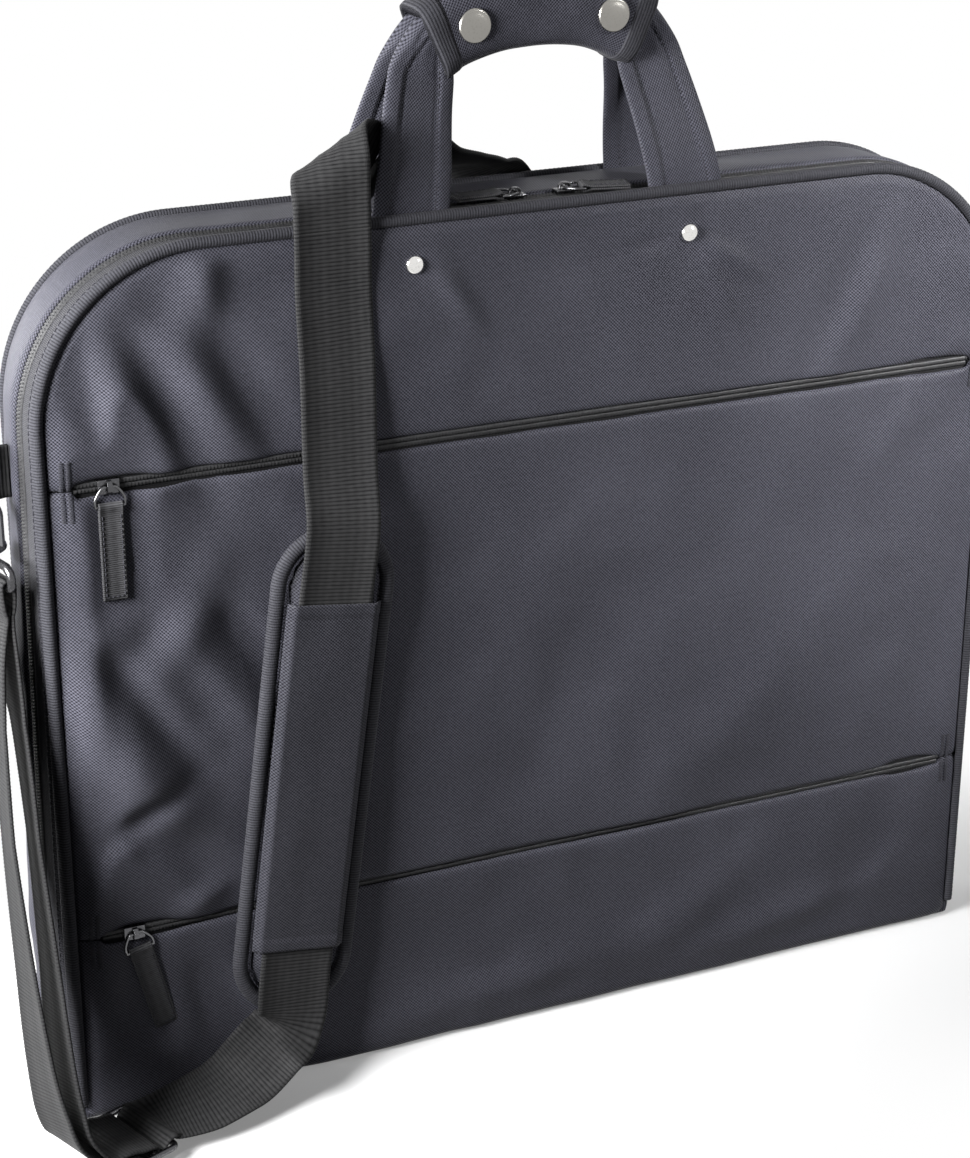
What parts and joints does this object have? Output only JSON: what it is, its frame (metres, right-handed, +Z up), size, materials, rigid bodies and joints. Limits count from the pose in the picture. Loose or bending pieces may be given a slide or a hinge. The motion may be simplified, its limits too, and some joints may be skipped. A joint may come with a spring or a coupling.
{
  "type": "garment bag",
  "caption": "Soft folding garment bag with zipped halves, zipped front pockets, twin webbing handles in a snapped grip and a padded shoulder strap on swivel hooks.",
  "frame": {"origin": "centre of the bottom panel's underside, on the surface the bag stands on", "axes": "+X along the width to the right seen from the front, +Y from front to back, +Z up"},
  "size_m": [0.6296, 0.1901, 0.5869],
  "materials": {
    "charcoal_twill": "fine satin twill",
    "black_lining": "plain weave",
    "ribbed_webbing": "ribbed weave",
    "zip_tape": "woven tape with nylon coil",
    "polished_steel": "polished",
    "gunmetal": "dark satin plate",
    "stiffener_board": "matt"
  },
  "bodies": {
    "rear_half": {"bottom_panel": "charcoal_twill", "back_panel": "charcoal_twill", "back_board": "stiffener_board", "rear_lining": "black_lining", "rear_gusset": "charcoal_twill", "rear_piping": "charcoal_twill", "main_zip_rear": "zip_tape", "rear_handle": "ribbed_webbing", "rear_rivet_left": "polished_steel", "rear_rivet_right": "polished_steel", "grip_wrap": "charcoal_twill", "ring_tab_left": "ribbed_webbing", "ring_tab_right": "ribbed_webbing", "swivel_eye_left": "gunmetal", "swivel_eye_right": "gunmetal", "hanger_loop": "ribbed_webbing", "garment_band": "ribbed_webbing", "strap_main": "ribbed_webbing", "strap_return": "ribbed_webbing", "three_bar_slide": "gunmetal"},
    "front_half": {"front_top_panel": "charcoal_twill", "front_middle_panel": "charcoal_twill", "front_bottom_panel": "charcoal_twill", "upper_zip": "zip_tape", "lower_zip": "zip_tape", "upper_pocket_bag": "black_lining", "lower_pocket_bag": "black_lining", "front_lining": "black_lining", "front_piping": "charcoal_twill", "main_zip_front": "zip_tape", "front_handle": "ribbed_webbing", "front_rivet_left": "polished_steel", "front_rivet_right": "polished_steel", "shoulder_pad": "charcoal_twill", "pad_rim": "ribbed_webbing", "pad_sleeve": "charcoal_twill"},
    "grip_flap": {"grip_flap": "charcoal_twill", "snap_left": "polished_steel", "snap_right": "polished_steel"},
    "upper_slider": {"upper_slider": "gunmetal"},
    "upper_pull": {"upper_pull_bail": "polished_steel", "upper_pull_tab": "ribbed_webbing"},
    "lower_slider": {"lower_slider": "gunmetal"},
    "lower_pull": {"lower_pull_bail": "polished_steel", "lower_pull_tab": "ribbed_webbing"},
    "main_slider_left": {"main_slider_left": "gunmetal"},
    "main_pull_left": {"main_pull_left_bail": "polished_steel", "main_pull_left_tab": "ribbed_webbing"},
    "d_ring_left": {"d_ring_left": "gunmetal"},
    "hook_left": {"hook_left": "gunmetal"},
    "hook_gate_left": {"hook_gate_left": "gunmetal"},
    "main_slider_right": {"main_slider_right": "gunmetal"},
    "main_pull_right": {"main_pull_right_bail": "polished_steel", "main_pull_right_tab": "ribbed_webbing"},
    "d_ring_right": {"d_ring_right": "gunmetal"},
    "hook_right": {"hook_right": "gunmetal"},
    "hook_gate_right": {"hook_gate_right": "gunmetal"}
  },
  "joints": [
    {"name": "front_fold", "type": "hinge", "parent": "rear_half", "child": "front_half", "pos_m": [0, -0.0315, 0.01], "axis": [1, 0, 0], "range_deg": [0, 70], "deforming": ["strap_main", "strap_return", "grip_flap", "snap_left", "snap_right"]},
    {"name": "upper_pocket_slide", "type": "slide", "parent": "front_half", "child": "upper_slider", "axis": [1, 0, 0], "range_m": [0, 0.47]},
    {"name": "upper_pull_swing", "type": "hinge", "parent": "upper_slider", "child": "upper_pull", "pos_m": [-0.239, -0.03395, 0.357], "axis": [-1, 0, 0], "range_deg": [0, 170]},
    {"name": "lower_pocket_slide", "type": "slide", "parent": "front_half", "child": "lower_slider", "axis": [1, 0, 0], "range_m": [0, 0.47]},
    {"name": "lower_pull_swing", "type": "hinge", "parent": "lower_slider", "child": "lower_pull", "pos_m": [-0.239, -0.03395, 0.11], "axis": [-0.9703, 0, -0.2419], "range_deg": [0, 170]},
    {"name": "main_slide_left", "type": "slide", "parent": "rear_half", "child": "main_slider_left", "axis": [-1, 0, 0], "range_m": [0, 0.05]},
    {"name": "main_pull_swing_left", "type": "hinge", "parent": "main_slider_left", "child": "main_pull_left", "pos_m": [-0.014, -0.008, 0.47558], "axis": [0, 1, 0], "range_deg": [0, 110]},
    {"name": "d_ring_turn_left", "type": "hinge", "parent": "rear_half", "child": "d_ring_left", "pos_m": [-0.2895, -0.001, 0.361], "axis": [0, 0, 1], "range_deg": [-8, 8]},
    {"name": "hook_swivel_left", "type": "hinge", "parent": "rear_half", "child": "hook_left", "pos_m": [-0.29464, -0.00713, 0.345], "axis": [0, 0, 1], "range_deg": [-20, 20]},
    {"name": "gate_left", "type": "hinge", "parent": "hook_left", "child": "hook_gate_left", "pos_m": [-0.30031, -0.00237, 0.3304], "axis": [0.6428, 0.766, 0], "range_deg": [0, 22], "stiffness_Nm_per_rad": 0.02},
    {"name": "main_slide_right", "type": "slide", "parent": "rear_half", "child": "main_slider_right", "axis": [1, 0, 0], "range_m": [0, 0.15]},
    {"name": "main_pull_swing_right", "type": "hinge", "parent": "main_slider_right", "child": "main_pull_right", "pos_m": [0.014, -0.008, 0.47558], "axis": [-0.2588, -0.9659, 0], "range_deg": [0, 110]},
    {"name": "d_ring_turn_right", "type": "hinge", "parent": "rear_half", "child": "d_ring_right", "pos_m": [0.2895, -0.001, 0.361], "axis": [0, 0, 1], "range_deg": [0, 8]},
    {"name": "hook_swivel_right", "type": "hinge", "parent": "rear_half", "child": "hook_right", "pos_m": [0.29702, 0.00174, 0.345], "axis": [0.197, -0.5413, 0.8174], "range_deg": [-20, 20]},
    {"name": "gate_right", "type": "hinge", "parent": "hook_right", "child": "hook_gate_right", "pos_m": [0.29621, 0.00396, 0.3288], "axis": [-0.9397, -0.342, 0], "range_deg": [0, 22], "stiffness_Nm_per_rad": 0.02},
    {"name": "grip_flap_open", "type": "hinge", "parent": "rear_half", "child": "grip_flap", "pos_m": [0, -0.0129, 0.5869], "axis": [-1, 0, 0], "range_deg": [0, 100]}
  ]
}
